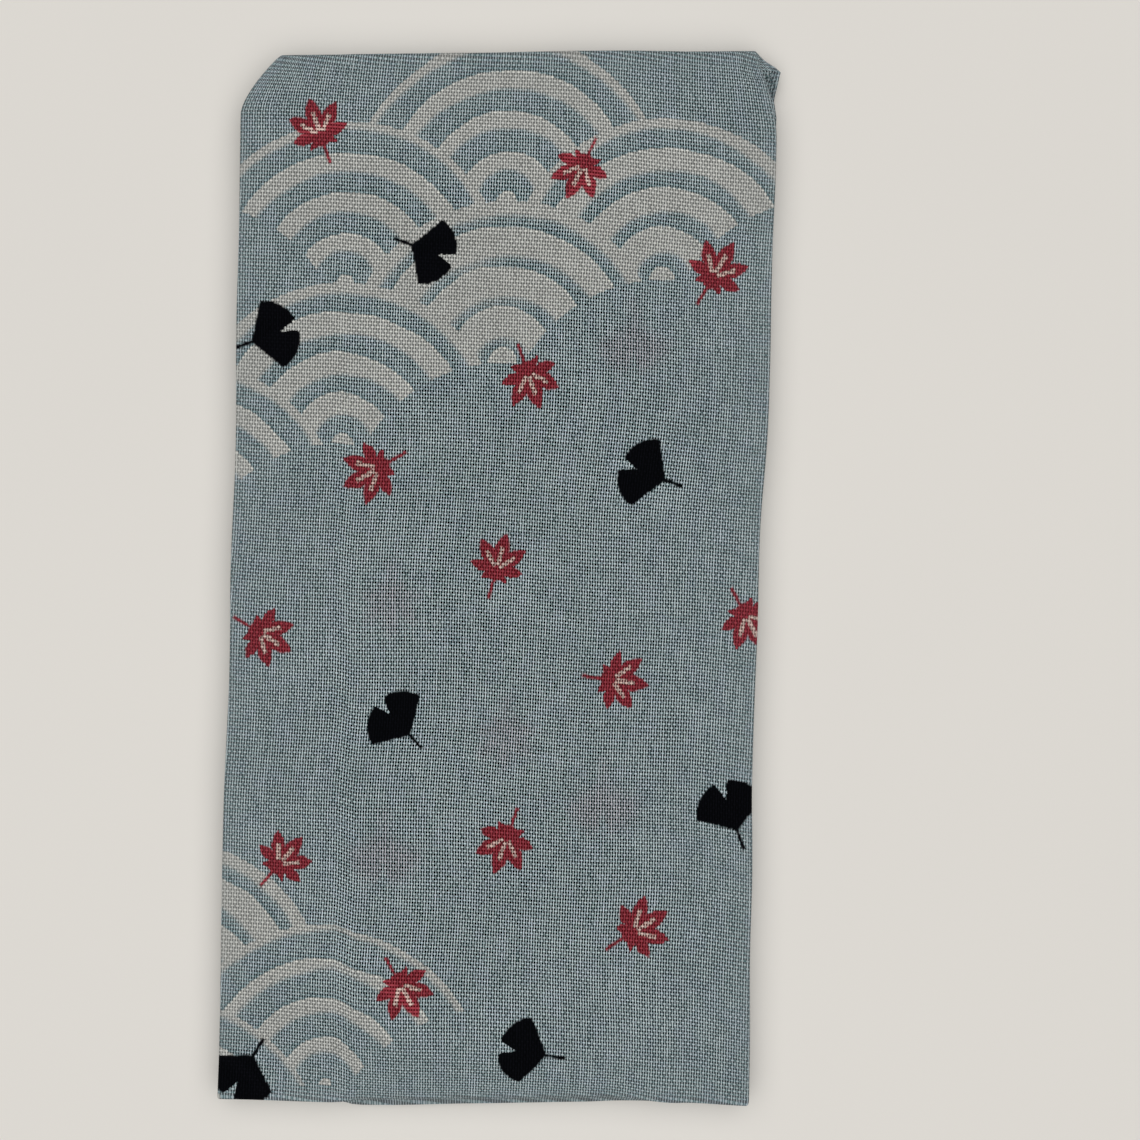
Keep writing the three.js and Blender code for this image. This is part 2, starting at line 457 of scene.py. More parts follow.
def strip_section(cloth):
    """The folded strip's cross-section as rows of share across, shift, offset, tangent, run.

    It walks along one flap to the left fold, back over the middle third and round the right
    fold into the other flap. A point lies at share of the way from the leaf's left side to its
    right one, plus shift, and at offset outwards. The folds are half circles.
    """
    half, spacing = cloth.thickness / 2, cloth.ply_spacing
    left_centre = spacing / 2 + half
    right_centre = -spacing - half
    tucked, short = right_centre - FLAP_TUCK, left_centre + FLAP_SHORT

    def straight(start, stop, shifts, offset, steps):
        way = gathered(steps)
        shift = shifts[0] + (shifts[1] - shifts[0]) * way
        side = np.full_like(way, np.sign(stop - start))
        level = np.full_like(way, offset)
        return np.column_stack((start + (stop - start) * way, shift, level, side, 0 * way))

    def turned(share, centre, offset, radius, start, steps):
        angle = start - np.pi * np.arange(1, steps) / steps
        shift = centre + radius * np.cos(angle)
        level = offset + radius * np.sin(angle)
        return np.column_stack((0 * angle + share, shift, level, np.sin(angle), -np.cos(angle)))

    rows = np.vstack(
        (
            straight(1, 0, (tucked, left_centre), 0, FLAP_STEPS),
            turned(0, left_centre, spacing / 2, spacing / 2, 1.5 * np.pi, LEFT_FOLD_STEPS),
            straight(0, 1, (left_centre, right_centre), spacing, MIDDLE_STEPS),
            turned(1, right_centre, 0, spacing, 0.5 * np.pi, RIGHT_FOLD_STEPS),
            straight(1, 0, (right_centre, short), -spacing, FLAP_STEPS),
        )
    )
    plan = rows[:, 0] * cloth.flat_width / 3 + rows[:, 1]
    steps = np.hypot(np.diff(plan), np.diff(rows[:, 2]))
    run = np.concatenate(([0], np.cumsum(steps)))
    return np.column_stack((rows, run * cloth.flat_width / run[-1]))


def plane_waves(x, y, count, shortest, longest, seed):
    """A sum of plane waves with seeded directions, lengths and phases, scaled to about -1..1."""
    rng = np.random.default_rng(seed)
    turn = rng.uniform(0, np.pi, count)
    number = 2 * np.pi / rng.uniform(shortest, longest, count)
    phase = rng.uniform(0, 2 * np.pi, count)
    total = np.zeros(np.broadcast(x, y).shape)
    for direction, rate, shift in zip(turn, number, phase):
        total += np.sin(rate * (x * np.cos(direction) + y * np.sin(direction)) + shift)
    return total / math.sqrt(2 * count)


def corner(table, width, length, y, curve=CORNER_CURVE):
    """A corner's slant or flare at y, its width times (way into its length) ^ curve, where
    width and length are columns of the leaves' table."""
    way = np.clip((y - PACKET_LENGTH / 2 + table[..., length]) / table[..., length], 0, 1)
    return table[..., width] * way**curve


def leaf_sides(leaf, y, wander):
    """Left and right side of a leaf at y, less its inset and with a slow wander of its own, then
    how far its left and its right corner are cut back."""
    table = LEAF_CORNERS[leaf]
    left = table_value(SIDE_EDGES, 1, y) + table[..., 0]
    right = table_value(SIDE_EDGES, 2, y) - table[..., 0]
    for has_it, (middle, reach, amount) in ((leaf < 3, BULGE), (leaf == 0, WAIST)):
        right += amount * has_it * np.exp(-(((y - middle) / reach) ** 2))
    right_cut = corner(table, 3, 4, y, RIGHT_SLANT_CURVES[leaf]) - corner(table, 5, 6, y)
    left += wander * plane_waves(y, 0.7 * leaf, *SIDE_WAVES, SEED)
    right += wander * plane_waves(y, 0.7 * leaf, *SIDE_WAVES, SEED + 1)
    return left, right, corner(table, 1, 2, y), right_cut


def folded_points(cloth, stations, section, side):
    """One face of the folded cloth, a grid of stations by section points.

    The section's point, moved by half a thickness to the side of its tangent, is laid off from
    the station across the packet and along the station's outward normal (sin, -cos) of its
    heading. The folds that show are stretched from their middle until they are squarer. Corners
    are cut back by cut * exp(-distance from the side / softness), and the right tip is lifted.
    Then the ends run out or in, the single fold's upper half leans inwards as a roll, and the
    heights are pressed at the roll and stretched by the swells and ripples. All of it keeps the
    order of the plies.
    """
    y, z, angle, leaf, reached, way, turned = (stations[:, [k]] for k in range(7))
    share, shift, offset, tangent_x, tangent_out = (section[:, k] for k in range(5))
    half = side * cloth.thickness / 2
    shift = shift - half * tangent_out
    offset = offset + half * tangent_x
    y = y + offset * np.sin(angle)
    z = z - offset * np.cos(angle)
    reach = np.where(turned != 0, turned + offset, 0)
    power = FOLD_SQUARENESS
    squarer = (np.abs(np.sin(angle)) ** power + np.abs(np.cos(angle)) ** power) ** (-1 / power)
    stretch = reach * (squarer - 1) * np.clip((np.abs(reach) - FOLD_CORE) / MM, 0, 1)
    y = y + stretch * np.sin(angle)
    z = z - stretch * np.cos(angle)
    sides = [leaf_sides(number.astype(int), y, cloth.edge_wander) for number in (leaf, reached)]
    left, right, left_cut, right_cut = (
        first * (1 - way) + second * way for first, second in zip(*sides)
    )
    x = left + (right - left) * share + shift
    from_left, from_right = (left - x) / CORNER_SOFTNESS, (x - right) / CORNER_SOFTNESS
    x = x + left_cut * np.exp(from_left) - right_cut * np.exp(from_right)
    inwards = table_value(SIDE_EDGES, 2, y) - x
    line = TIP_START - TIP_SLANT * np.minimum(inwards, TIP_SLANT_REACH)
    endwards = eased((y - line) / TIP_RUN)
    sidewards = eased((TIP_INNER - inwards) / (TIP_INNER - TIP_OUTER))
    z = z + TIP_SHARE * endwards * sidewards * (TIP_HEIGHT - z)
    endwards = eased((y - RIM_START) / RIM_RUN) * (1 - endwards)
    sidewards = eased((RIM_INNER - inwards) / RIM_WIDTH)
    z = z + RIM_SHARE * endwards * sidewards * (RIM_HEIGHT - z)
    along = y / PACKET_LENGTH + 0.5
    ends = [table_value(END_LINES, column, x) for column in (1, 2)]
    start, end = (eased((x - middle) / reach / 2 + 0.5) for middle, reach in ROLL_SPAN)
    rolled = start - end
    lean = 1 - (1 - np.clip((z - ROLL_FOOT) / (ROLL_HEAD - ROLL_FOOT), 0, 1)) ** 2
    fade = np.clip(1 - (y + PACKET_LENGTH / 2) / ROLL_FADE, 0, 1) ** 2
    y = y + ends[0] * (1 - along) + ends[1] * along + cloth.roll * rolled * lean * fade
    z = z * (1 - ROLL_PRESS * rolled * eased((ROLL_CREASE - y) / ROLL_PRESS_WIDTH))
    swell = sum(
        height * np.exp(-((x - at_x) ** 2 + (y - at_y) ** 2) / reach**2)
        for at_x, at_y, reach, height in SWELLS
    )
    ripple = cloth.ripple * plane_waves(x, y, *FACE_WAVES, SEED + 2)
    height = z / STACK_HEIGHT
    return np.stack((x, y, z * (1 + swell / STACK_HEIGHT) + ripple * height**2), axis=-1)


def thread_counts(run_across, run_along, pattern):
    """Warp and weft count at a point of the flat cloth. The threads aren't square to each
    other: the weft slopes more and more towards the right, and both wander a little."""
    across, along = np.meshgrid(run_across, run_along)
    third = run_across[-1] / 3
    way = across / third - 1
    lean = 0.012 * along + 0.5 * MM * plane_waves(across, along, *WARP_WAVES, SEED + 3)
    slope = third * (0.044 * way + 0.035 * way**2)
    slope += 0.6 * MM * plane_waves(across, along, *WEFT_WAVES, SEED + 4)
    return (across + lean) / pattern.warp_pitch, (along - slope) / pattern.weft_pitch


def nearness(run, turns):
    """How near the places of a run are to a turn of the cloth, d away along it: 1 at the turn,
    0.6 exp(-d / 1.5 mm) + 0.4 exp(-d / 16 mm) beyond."""
    away = np.abs(run[:, None] - turns).min(axis=1)
    return 0.6 * np.exp(-away / (1.5 * MM)) + 0.4 * np.exp(-away / (16 * MM))


def bake_share(run, weights):
    """Places between 0 and 1 for a row of points: steps of the run, each times its weight."""
    steps = np.concatenate(([0], np.cumsum(np.diff(run) * weights)))
    return steps / steps[-1]


def printed_leaves(cloth, pattern, face_start):
    """Rows of across, along, turn, size and kind for every leaf of the print. The packet's face
    has the listed ones. The rest of the cloth has one in each cell of a square net, moved
    by a seeded share of the jitter, where none of the listed ones is near."""
    radius = pattern.leaf_radius
    placed = np.array(
        [
            (cloth.flat_width / 3 + x * MM, face_start + y * MM, math.radians(t), s * radius, k)
            for x, y, t, k, s in FACE_LEAVES
        ]
    )
    rng = np.random.default_rng(SEED)
    counts = [math.ceil(side / SCATTER_CELL) for side in (cloth.flat_width, cloth.flat_length)]
    net = np.stack(np.meshgrid(*[np.arange(count) for count in counts]), axis=-1).reshape(-1, 2)
    spots = (net + 0.5) * SCATTER_CELL + rng.uniform(-1, 1, net.shape) * SCATTER_JITTER
    turns = rng.uniform(0, 2 * np.pi, len(spots))
    sizes = radius * rng.uniform(0.93, 1.05, len(spots))
    kinds = np.where(rng.uniform(0, 1, len(spots)) < SCATTER_BLACK, BLACK, RED)
    scattered = np.column_stack((spots, turns, sizes, kinds))
    gaps = np.linalg.norm(spots[:, None, :] - placed[None, :, :2], axis=2).min(axis=1)
    third = cloth.flat_width / 3
    from_middle = np.abs(spots - (1.5 * third, face_start + HALF_FACE))
    on_face = (from_middle < (third / 2, HALF_FACE)).all(axis=1)
    return np.vstack((placed, scattered[(gaps > SCATTER_CLEAR) & ~on_face]))


def shell_corners(rows, columns):
    """Corners (row, column, face) of the quads of a shell: the squares of its two faces, then
    the rims that join these at the first and last row and at the first and last column."""
    ahead, aside = np.array([1, 1, 0, 0]), np.array([0, 1, 1, 0])
    row, column = np.mgrid[0 : rows - 1, 0 : columns - 1].reshape(2, -1, 1)
    row, column = row + ahead, column + aside
    quads = [
        np.stack((row, column, 0 * row), axis=-1),
        np.stack((row, column, 0 * row + 1), axis=-1)[:, ::-1],
    ]
    for fixed, (last, along) in enumerate(((rows - 1, columns), (columns - 1, rows))):
        run = np.arange(along - 1)[:, None] + ahead
        for edge in (0, last):
            place = [run, run]
            place[fixed] = 0 * run + edge
            rim = np.stack((*place, 0 * run + aside), axis=-1)
            quads.append(rim if (fixed == 0) == (edge == 0) else rim[:, ::-1])
    return np.concatenate(quads)


def cloth_mesh(cloth, pattern):
    """The folded cloth as one closed mesh, with its flat places, thread counts, a map for
    baking and, on each face, the printed leaf nearest to it."""
    stations, section = strip_stations(), strip_section(cloth)
    along = stations[:, 7] * cloth.flat_length / stations[-1, 7]
    across = section[:, 5]
    rows, columns = len(along), len(across)
    faces = [folded_points(cloth, stations, section, side) for side in (1, -1)]
    points = np.concatenate([face.reshape(-1, 3) for face in faces])
    points -= (*BOX_MIDDLE, points[:, 2].min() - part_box("cloth")[0].z)

    corners = shell_corners(rows, columns)
    index = (corners[..., 2] * rows + corners[..., 0]) * columns + corners[..., 1]

    mesh = bpy.data.meshes.new("tenugui_cloth")
    mesh.from_pydata(points, [], index.tolist())
    if mesh.validate():
        raise RuntimeError("the cloth's mesh had faults")
    mesh.polygons.foreach_set("use_smooth", np.ones(len(index), bool))

    at_row, at_column = (corners[..., k].ravel() for k in range(2))
    flat = np.column_stack((across[at_column], along[at_row]))
    warp, weft = thread_counts(across, along, pattern)
    threads = np.column_stack((warp[at_row, at_column], weft[at_row, at_column]))
    bake = bake_places(corners, across, along, stations)
    for name, places in (("Flat", flat), ("Threads", threads), ("OFBake", bake)):
        layer = mesh.uv_layers.new(name=name, do_init=False)
        layer.data.foreach_set("uv", places.astype(np.float32).ravel())

    # The middles of the folds, where the cloth stands upright
    turns_along = along[np.abs(np.sin(stations[:, 2])) > 0.9]
    turns_across = across[np.abs(section[:, 4]) > 0.9]
    near_fold = np.maximum.outer(nearness(along, turns_along), nearness(across, turns_across))
    attribute = mesh.attributes.new("near_fold", "FLOAT", "POINT")
    attribute.data.foreach_set("value", np.tile(near_fold.ravel(), 2).astype(np.float32))

    face_start = along[np.flatnonzero(stations[:, 3] == 3)[0]]
    leaves = printed_leaves(cloth, pattern, face_start)
    middles = flat.reshape(-1, 4, 2).mean(axis=1)
    nearest = np.linalg.norm(middles[:, None] - leaves[:, :2], axis=2).argmin(axis=1)
    for name, picked in (("leaf_place", leaves[nearest, :3]), ("leaf_look", leaves[nearest, 3:])):
        values = np.zeros((len(index), 3), np.float32)
        values[:, : picked.shape[1]] = picked
        attribute = mesh.attributes.new(name, "FLOAT_VECTOR", "FACE")
        attribute.data.foreach_set("vector", values.ravel())
    mesh.set_sharp_from_angle(angle=math.radians(48))
    mesh.update()
    return mesh


def bake_places(corners, across, along, stations):
    """A map for baking with nothing on top of anything else: the packet's face fills the left
    half. The rest of the printed side is beside it, its side folds widened, then the plain
    side, and the rims are thin strips at the right."""
    rows, columns, sides = corners[..., 0], corners[..., 1], corners[..., 2]
    left_fold = FLAP_STEPS + LEFT_FOLD_STEPS
    right_fold = left_fold + MIDDLE_STEPS
    face_columns = (FLAP_STEPS + LEFT_FOLD_STEPS // 2, right_fold + RIGHT_FOLD_STEPS // 2)
    top = np.flatnonzero((stations[:, 3] == 3) & (stations[:, 4] == 3))
    face_rows = (top[0] - 9, top[-1] + 6)

    weights = np.full(len(across) - 1, 0.25)
    weights[FLAP_STEPS : right_fold + RIGHT_FOLD_STEPS] = 6.25
    weights[left_fold:right_fold] = 1.0
    wide = bake_share(across, weights)
    leaf, reached = stations[1:, 3], stations[1:, 4]
    tall = bake_share(along, 0.5 + 2.0 * (leaf != reached) + 0.5 * (reached == 0))

    places = np.empty(corners.shape[:2] + (2,))
    start, span = (np.where(sides == 0, *pair) for pair in zip(BAKE_PRINTED, BAKE_PLAIN))
    places[..., 0] = start + span * wide[columns]
    places[..., 1] = BAKE_MARGIN + BAKE_LENGTH * tall[rows]

    on_face = (sides == 0).all(axis=1)
    for at, (first, last) in ((columns, face_columns), (rows, face_rows)):
        on_face &= ((at >= first) & (at <= last)).all(axis=1)
    for k, at, run, ends, last in (
        (0, columns, across, face_columns, BAKE_FACE),
        (1, rows, along, face_rows, 1 - BAKE_MARGIN),
    ):
        whole = np.interp(run, run[list(ends)], (BAKE_MARGIN, last))
        places[on_face, :, k] = whole[at[on_face]]

    is_rim = (sides != sides[:, :1]).any(axis=1)
    is_end = (rows == rows[:, :1]).all(axis=1)
    for rim, at, run, level, start in (
        (is_rim & is_end, columns, across, rows, BAKE_ENDS),
        (is_rim & ~is_end, rows, along, columns, BAKE_EDGES),
    ):
        places[rim, :, 0] = start + BAKE_RIM * sides[rim] + BAKE_RIM_STEP * (level[rim] > 0)
        places[rim, :, 1] = BAKE_MARGIN + BAKE_LENGTH * run[at[rim]] / run[-1]
    return places.reshape(-1, 2)


def add_node(tree, kind, inputs=(), output=0, **settings):
    """Add a shader node, its kind written "Kind" or "Kind.OPERATION", with its settings. Give
    its inputs values or links, by place or by name. Return one output, or all for None."""
    kind, _, operation = kind.partition(".")
    node = tree.nodes.new("ShaderNode" + kind)
    if operation:
        node.operation = operation
    for name, value in settings.items():
        setattr(node, name, value)
    for key, value in inputs.items() if isinstance(inputs, dict) else enumerate(inputs):
        if isinstance(value, bpy.types.NodeSocket):
            tree.links.new(value, node.inputs[key])
        else:
            node.inputs[key].default_value = value
    return node.outputs if output is None else node.outputs[output]


def new_material(name):
    """A material without nodes, and the function that adds one to it."""
    material = bpy.data.materials.new(name)
    material.use_nodes = True
    material.node_tree.nodes.clear()
    return material, functools.partial(add_node, material.node_tree)


def weave_pattern(add, threads):
    """An open plain weave. A thread covers a point nearer to its middle than its half width,
    and warp and weft take turns on top. Each thread has its own width and tone, both drifting
    along it, and painted shade where it dips under the next and towards its sides. Returns the
    cell's number, the place in it, the tone with that painted light and shade, the height, and
    how far the painted shade of the nearest gap is lifted."""
    cell = add("VectorMath.FLOOR", (threads,))
    part = add("VectorMath.FRACTION", (threads,))
    place = add("VectorMath.SUBTRACT", (part, (0.5, 0.5, 0)))

    # Every thread reads its own line of a noise, far from its neighbour's and slowly along it
    noises = []
    for far, slow in LINE_STEPS:
        line = add("VectorMath.MULTIPLY", (threads, slow))
        line = add("VectorMath.MULTIPLY_ADD", (cell, far, line))
        noise = add("TexNoise", {"Vector": line, "Scale": 1.0}, 1, **PLANE)
        noises.append(add("SeparateColor", (noise,), None))
    warp, weft = noises
    own, tone = (add("CombineXYZ", (warp[k], weft[k])) for k in (0, 1))

    half_width = add("VectorMath.MULTIPLY_ADD", (own, OWN_WIDTH, HALF_WIDTH))
    uneven = add("TexNoise", {"Vector": threads, "Scale": 0.62}, 1, **PLANE)
    half_width = add("VectorMath.MULTIPLY_ADD", (uneven, UNEVEN_WIDTH, half_width))
    inner = add("VectorMath.SUBTRACT", (half_width, EDGE_SOFTNESS))
    outer = add("VectorMath.ADD", (half_width, EDGE_SOFTNESS))
    distance = add("VectorMath.ABSOLUTE", (place,))
    edge = {"Vector": distance, 7: inner, 8: outer, 9: (1, 1, 1), 10: (0, 0, 0)}
    covers = add("MapRange", edge, "Vector", data_type="FLOAT_VECTOR", **SMOOTH)

    # 1 where the warp is on top of the crossing, 0 where the weft is
    total = add("VectorMath.DOT_PRODUCT", (cell, (1, 1, 0)), 1)
    warp_up = add("Math.FLOORED_MODULO", (total, 2.0))
    weft_up = add("Math.SUBTRACT", (1.0, warp_up))
    up = add("CombineXYZ", (warp_up, weft_up))
    hides = add("VectorMath.MULTIPLY", (covers, up))
    by_warp, by_weft = add("SeparateXYZ", (hides,), None)[:2]
    hidden = add("CombineXYZ", (by_weft, by_warp))
    shown = add("VectorMath.SUBTRACT", ((1, 1, 0), hidden))
    seen = add("VectorMath.MULTIPLY", (covers, shown))

    # A thread is highest where it is on top: (up or down) * cos of the way to its neighbour
    across, along = add("SeparateXYZ", (place,), None)[:2]
    rise = add("CombineXYZ", (along, across))
    rise = add("VectorMath.COSINE", (add("VectorMath.MULTIPLY", (rise, (math.pi, math.pi, 0))),))
    turn = add("VectorMath.MULTIPLY_ADD", (up, (2, 2, 0), (-1, -1, 0)))
    rise = add("VectorMath.MULTIPLY", (rise, turn))
    # Painted light and shade on the yarn: a thread is painted brighter where it rises on top,
    # darker where it dips under, and darker towards its sides
    crown_light = add("VectorMath.MULTIPLY_ADD", (rise, RISING_CROWN_LIGHT, LEVEL_CROWN_LIGHT))
    roundness_and_side_shade = add("VectorMath.MULTIPLY", (place, place))
    roundness_and_side_shade = add("VectorMath.MULTIPLY_ADD", (roundness_and_side_shade, SIDE_SHADE, (1, 1, 0)))
    tone = add("VectorMath.MULTIPLY_ADD", (tone, TONE_RANGE, LEAST_TONE))
    painted_light = add("VectorMath.MULTIPLY", (crown_light, roundness_and_side_shade))
    tone = add("VectorMath.MULTIPLY", (tone, painted_light))
    tone = add("VectorMath.DOT_PRODUCT", (seen, tone), 1)

    height = add("VectorMath.MULTIPLY_ADD", (rise, (0.3, 0.3, 0), (0.7, 0.7, 0)))
    height = add("VectorMath.MULTIPLY", (height, roundness_and_side_shade))
    height = add("VectorMath.DOT_PRODUCT", (seen, height), 1)

    # Each gap is a little deeper or shallower than the next: a random lift of its painted shade
    gap_number = add("VectorMath.FLOOR", (add("VectorMath.ADD", (threads, (0.5, 0.5, 0))),))
    gap_shade_lift = add("TexWhiteNoise", (gap_number,), **PLANE)
    return cell, place, tone, height, gap_shade_lift


def wave_pattern(add, flat, radius, drift):
    """Wave scales: discs of one radius in rows half a radius apart, each row moved by a radius
    and covered by the rows below it. A point belongs to the lowest of three discs that holds
    it. The discs carry rings, cos(2 pi rings distance) above a limit, low in the heart of a
    patch and high at its rim, and discs with their middle outside every patch are bare.
    Returns how much of the point is painted, how much is a ring's bright outer line, and how
    much is the deeper dye beside it: a ring is soft inside and crisp outside."""
    net = (1 / radius, -2 / radius, 0)
    net = add("VectorMath.MULTIPLY_ADD", (flat, net, (0, ROW_LIFT, 0)))
    across, up = add("SeparateXYZ", (net,), None)[:2]
    row = add("Math.FLOOR", (up,))
    rest = add("Math.FRACT", (up,))
    discs = []
    for lift in (1.0, 0.0, -1.0):
        own_row = add("Math.SUBTRACT", (row, lift))
        rise = add("Math.MULTIPLY_ADD", (rest, 0.5, lift / 2))
        odd = add("Math.FLOORED_MODULO", (own_row, 2.0))
        moved = add("Math.SUBTRACT", (across, odd))
        count = add("Math.ROUND", (add("Math.MULTIPLY", (moved, 0.5)),))
        middle = add("Math.MULTIPLY_ADD", (count, 2.0, odd))
        aside = add("Math.SUBTRACT", (across, middle))
        offset = add("CombineXYZ", (aside, rise))
        length = add("VectorMath.LENGTH", (offset,), 1)
        discs.append(add("CombineXYZ", (length, middle, own_row)))
    chosen = discs[2]
    for disc in (discs[1], discs[0]):
        outside = add("Math.GREATER_THAN", (add("SeparateXYZ", (disc,)), 1.0))
        chosen = add("Mix", {0: outside, 4: disc, 5: chosen}, 1, data_type="VECTOR")
    reach, middle, own_row = add("SeparateXYZ", (chosen,), None)

    # How deep inside a patch the chosen disc's middle lies
    back = add("Math.SUBTRACT", (own_row, ROW_LIFT))
    middle = add("CombineXYZ", (middle, back))
    middle = add("VectorMath.MULTIPLY", (middle, (radius, -radius / 2, 0)))
    depth = None
    for patch_across, patch_along, wide, long in WAVE_PATCHES.tolist():
        gap = add("VectorMath.SUBTRACT", (middle, (patch_across, patch_along, 0)))
        gap = add("VectorMath.MULTIPLY", (gap, (1 / wide, 1 / long, 0)))
        gap = add("VectorMath.DOT_PRODUCT", (gap, gap), 1)
        inside = add("Math.SUBTRACT", (1.0, gap), use_clamp=True)
        depth = inside if depth is None else add("Math.MAXIMUM", (depth, inside))
    present = add("Math.GREATER_THAN", (depth, 0.01))

    turns = add("Math.MULTIPLY", (reach, 2 * math.pi * RINGS))
    ring = add("Math.COSINE", (turns,))
    outer_side = add("Math.SINE", (turns,))
    outer_side = add("MapRange", {"Value": outer_side, "From Min": 0.1, "From Max": 0.5})
    limit = add("Math.MULTIPLY_ADD", (depth, -LIMIT_FALL, RIM_LIMIT))
    limit = add("Math.MAXIMUM", (limit, HEART_LIMIT))
    limit = add("Math.MULTIPLY_ADD", (drift, LIMIT_DRIFT, limit))
    above = add("Math.SUBTRACT", (ring, limit))
    soft, crisp = (
        add("MapRange", {"Value": above, "From Min": start, "From Max": end}, **SMOOTH)
        for start, end in ((-0.45, 0.5), (-0.1, 0.2))
    )
    painted = add("Mix", {0: outer_side, 2: soft, 3: crisp})
    painted = add("Math.MULTIPLY", (painted, present))
    line = add("MapRange", {"Value": above, "From Min": 0.5, "From Max": 0.2})
    line = add("Math.MULTIPLY", (line, outer_side))
    line = add("Math.MULTIPLY", (line, painted))
    shade = add("MapRange", {"Value": above, "From Min": -0.9, "From Max": 0.0})
    shade = add("Math.MULTIPLY", (shade, outer_side))
    shade = add("Math.MULTIPLY", (shade, present))
    return painted, line, shade


def leaf_pattern(add, flat):
    """Printed leaves, each in its own frame with its longest tip at a height of 1.

    A red maple leaf has seven lobes: a point belongs to the nearest, at s of its length,
    cos(shortening * number), and the lobe is as wide as s (1 - s), with a disc at the middle
    and a stem. A black ginkgo leaf is a fan about the top of its stem, with a notch.
    Returns how much of the point is red, how much is black, and how much is vein or ghost.
    """
    place = add("Attribute", (), "Vector", attribute_name="leaf_place")
    look = add("Attribute", (), "Vector", attribute_name="leaf_look")
    turn = add("SeparateXYZ", (place,), 2)
    size, kind = add("SeparateXYZ", (look,), None)[:2]
    level = add("VectorMath.MULTIPLY", (place, (1, 1, 0)))
    local = add("VectorMath.SUBTRACT", (flat, level))
    local = add("VectorRotate", {"Vector": local, "Angle": turn}, rotation_type="Z_AXIS")
    grow = add("Math.DIVIDE", (1.0, size))
    local = add("VectorMath.SCALE", {0: local, "Scale": grow})
    x, y = add("SeparateXYZ", (local,), None)[:2]
    reach = add("VectorMath.LENGTH", (local,), 1)

    angle = add("Math.ARCTAN2", (x, y))
    number = add("Math.ROUND", (add("Math.MULTIPLY", (angle, 1 / LOBE_ANGLE)),))
    number = add("Clamp", {"Value": number, "Min": -3.0, "Max": 3.0})
    aside = add("Math.MULTIPLY_ADD", (number, -LOBE_ANGLE, angle))
    lobe = add("Math.COSINE", (add("Math.MULTIPLY", (number, LOBE_SHORTENING)),))
    rays = add("Math.DIVIDE", (reach, lobe))
    forward, across = (
        add("Math.MULTIPLY", (rays, add("Math." + part, (aside,)))) for part in ("COSINE", "SINE")
    )
    across = add("Math.ABSOLUTE", (across,))
    taper = add("Math.SUBTRACT", (1.0, forward))
    taper = add("Math.MULTIPLY", (taper, forward))
    blade = add("Math.MULTIPLY", (taper, LOBE_WIDTH))
    blade = add("Math.SUBTRACT", (blade, across))
    disc = add("Math.SUBTRACT", (LEAF_MIDDLE, reach))
    blade = add("Math.MAXIMUM", (blade, disc))
    thin = add("Math.ABSOLUTE", (x,))
    thin = add("Math.SUBTRACT", (STEM_WIDTH / 2, thin))
    below = add("Math.MULTIPLY", (y, -1.0))
    above = add("Math.ADD", (y, STEM_LENGTH))
    stem = add("Math.MINIMUM", (add("Math.MINIMUM", (thin, below)), above))
    maple = add("Math.MAXIMUM", (blade, stem))

    vein = add("Math.SUBTRACT", (VEIN_WIDTH / 2, across))
    vein_end = add("Math.SUBTRACT", (VEIN_END, forward))
    vein_start = add("Math.SUBTRACT", (forward, VEIN_START))
    side_lobe = add("Math.ABSOLUTE", (number,))
    inner_lobe = add("Math.SUBTRACT", (1.5, side_lobe))
    for limit in (inner_lobe, vein_end, vein_start):
        vein = add("Math.MINIMUM", (vein, limit))

    down = add("VectorMath.ADD", (local, (0, FAN_FOOT, 0)))
    down_x, down_y = add("SeparateXYZ", (down,), None)[:2]
    fan_angle = add("Math.ARCTAN2", (down_x, down_y))
    fan_side = add("Math.ABSOLUTE", (fan_angle,))
    fan_reach = add("VectorMath.LENGTH", (down,), 1)
    notch = {"Value": fan_side, "From Max": NOTCH_ANGLE, "To Min": NOTCH_FOOT, "To Max": FAN_REACH}
    notch = add("MapRange", notch, **SMOOTH)
    sag = add("Math.MULTIPLY", (fan_side, fan_side))
    notch = add("Math.MULTIPLY_ADD", (sag, -FAN_SAG, notch))
    fan = add("Math.SUBTRACT", (notch, fan_reach))
    fan_edge = add("Math.SUBTRACT", (FAN_ANGLE, fan_side))
    fan_edge = add("Math.MULTIPLY", (fan_edge, fan_reach))
    fan = add("Math.MINIMUM", (fan, fan_edge))
    stalk_end = add("Math.ADD", (y, STALK_END))
    stalk_top = add("Math.SUBTRACT", (-STALK_TOP, y))
    stalk = add("Math.MINIMUM", (add("Math.MINIMUM", (thin, stalk_end)), stalk_top))
    ginkgo = add("Math.MAXIMUM", (fan, stalk))

    masks = []
    for wanted, shape, edge in (
        (RED, maple, 0.03),
        (RED, vein, 0.02),
        (BLACK, ginkgo, 0.03),
        (RED_GHOST, maple, 0.3),
        (DARK_GHOST, ginkgo, 0.3),
    ):
        filled = add("MapRange", {"Value": shape, "From Min": -edge, "From Max": edge}, **SMOOTH)
        is_kind = add("Math.COMPARE", (kind, wanted, 0.1))
        masks.append(add("Math.MULTIPLY", (filled, is_kind)))
    return masks


